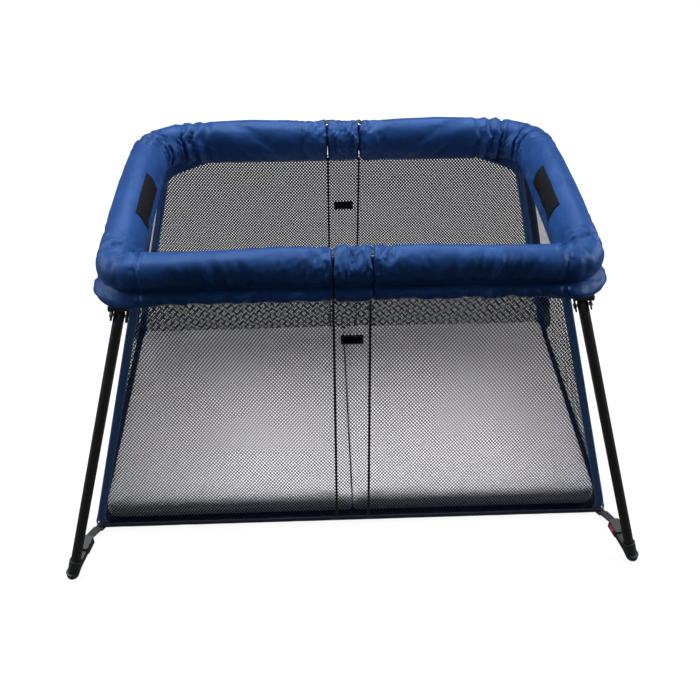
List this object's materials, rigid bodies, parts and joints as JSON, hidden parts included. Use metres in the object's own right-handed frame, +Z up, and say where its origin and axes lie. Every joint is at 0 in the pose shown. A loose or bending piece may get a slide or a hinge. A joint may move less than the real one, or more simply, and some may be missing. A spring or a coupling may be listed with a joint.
{
  "type": "folding playpen",
  "caption": "Rectangular folding playpen with a padded rim, mesh walls on a smaller rim and wider base, splayed tube legs and a padded floor.",
  "frame": {"origin": "on the floor under the centre of the playpen, standing open", "axes": "+X along the length, +Y across the width away from the near long side, +Z up"},
  "size_m": [1.1386, 0.8486, 0.646],
  "materials": {
    "rail_paint": "black powder coat",
    "leg_paint": "satin black powder coat",
    "hinge_steel": "zinc plated steel",
    "black_plastic": "black moulded nylon",
    "red_plastic": "red moulded plastic",
    "rim_fabric": "blue woven nylon over foam",
    "mesh_fabric": "navy knitted mesh",
    "base_fabric": "dark navy woven polyester",
    "mattress_fabric": "light grey quilted sheet",
    "webbing": "dark grey webbing",
    "label_fabric": "black woven patch, blank"
  },
  "bodies": {
    "centre": {"front_centre_pad": "rim_fabric", "front_hinge_link": "hinge_steel", "front_wall_label": "label_fabric", "front_centre_mesh": "mesh_fabric", "left_front_hinge_pin": "hinge_steel", "right_front_hinge_pin": "hinge_steel", "rear_centre_pad": "rim_fabric", "rear_hinge_link": "hinge_steel", "rear_wall_label": "label_fabric", "rear_centre_mesh": "mesh_fabric", "left_rear_hinge_pin": "hinge_steel", "right_rear_hinge_pin": "hinge_steel", "centre_floor": "base_fabric"},
    "left_half": {"left_front_knuckle": "black_plastic", "front_left_mesh": "mesh_fabric", "left_rear_knuckle": "black_plastic", "rear_left_mesh": "mesh_fabric", "left_frame_tube": "rail_paint", "left_rim_pad": "rim_fabric", "left_rim_label": "label_fabric", "left_floor": "base_fabric", "left_mattress": "mattress_fabric", "left_end_mesh": "mesh_fabric", "front_left_bracket": "black_plastic", "front_left_leg_pin": "hinge_steel", "front_left_base_strap": "webbing", "rear_left_bracket": "black_plastic", "rear_left_leg_pin": "hinge_steel", "rear_left_base_strap": "webbing"},
    "right_half": {"right_front_knuckle": "black_plastic", "front_right_mesh": "mesh_fabric", "right_rear_knuckle": "black_plastic", "rear_right_mesh": "mesh_fabric", "right_frame_tube": "rail_paint", "right_rim_pad": "rim_fabric", "right_rim_label": "label_fabric", "right_floor": "base_fabric", "right_mattress": "mattress_fabric", "right_end_mesh": "mesh_fabric", "front_right_bracket": "black_plastic", "front_right_leg_pin": "hinge_steel", "front_right_base_strap": "webbing", "rear_right_bracket": "black_plastic", "rear_right_leg_pin": "hinge_steel", "rear_right_base_strap": "webbing"},
    "front_left_leg": {"front_left_leg_tube": "leg_paint", "front_left_foot_arm": "black_plastic"},
    "front_left_button": {"front_left_release_button": "red_plastic"},
    "rear_left_leg": {"rear_left_leg_tube": "leg_paint", "rear_left_foot_arm": "black_plastic"},
    "rear_left_button": {"rear_left_release_button": "red_plastic"},
    "front_right_leg": {"front_right_leg_tube": "leg_paint", "front_right_foot_arm": "black_plastic"},
    "front_right_button": {"front_right_release_button": "red_plastic"},
    "rear_right_leg": {"rear_right_leg_tube": "leg_paint", "rear_right_foot_arm": "black_plastic"},
    "rear_right_button": {"rear_right_release_button": "red_plastic"}
  },
  "joints": [
    {"name": "left_fold", "type": "hinge", "parent": "centre", "child": "left_half", "pos_m": [-0.033, 0, 0.63], "axis": [0, 1, 0], "range_deg": [0, 90]},
    {"name": "right_fold", "type": "hinge", "parent": "centre", "child": "right_half", "pos_m": [0.033, 0, 0.63], "axis": [0, -1, 0], "range_deg": [0, 90]},
    {"name": "front_left_leg_fold", "type": "hinge", "parent": "left_half", "child": "front_left_leg", "pos_m": [-0.402, -0.264, 0.53], "axis": [0.9383, 0.1408, -0.3158], "range_deg": [0, 92], "deforming": ["front_left_base_strap"]},
    {"name": "rear_left_leg_fold", "type": "hinge", "parent": "left_half", "child": "rear_left_leg", "pos_m": [-0.402, 0.264, 0.53], "axis": [-0.9465, 0.1003, 0.3068], "range_deg": [0, 84], "deforming": ["rear_left_base_strap"]},
    {"name": "front_right_leg_fold", "type": "hinge", "parent": "right_half", "child": "front_right_leg", "pos_m": [0.402, -0.264, 0.53], "axis": [0.9383, -0.1408, 0.3158], "range_deg": [0, 92], "deforming": ["front_right_base_strap"]},
    {"name": "rear_right_leg_fold", "type": "hinge", "parent": "right_half", "child": "rear_right_leg", "pos_m": [0.402, 0.264, 0.53], "axis": [-0.9465, -0.1003, -0.3068], "range_deg": [0, 84], "deforming": ["rear_right_base_strap"]},
    {"name": "front_left_button_press", "type": "slide", "parent": "front_left_leg", "child": "front_left_button", "axis": [0.9773, -0.2119, 0], "range_m": [0, 0.003], "stiffness_N_per_m": 500, "springref_m": -0.001},
    {"name": "rear_left_button_press", "type": "slide", "parent": "rear_left_leg", "child": "rear_left_button", "axis": [-0.9773, -0.2119, 0], "range_m": [0, 0.003], "stiffness_N_per_m": 500, "springref_m": -0.001},
    {"name": "front_right_button_press", "type": "slide", "parent": "front_right_leg", "child": "front_right_button", "axis": [0.9773, 0.2119, 0], "range_m": [0, 0.003], "stiffness_N_per_m": 500, "springref_m": -0.001},
    {"name": "rear_right_button_press", "type": "slide", "parent": "rear_right_leg", "child": "rear_right_button", "axis": [-0.9773, 0.2119, 0], "range_m": [0, 0.003], "stiffness_N_per_m": 500, "springref_m": -0.001}
  ],
  "couplings": [
    {"joint": "right_fold", "follows": "left_fold", "ratio": 1}
  ]
}
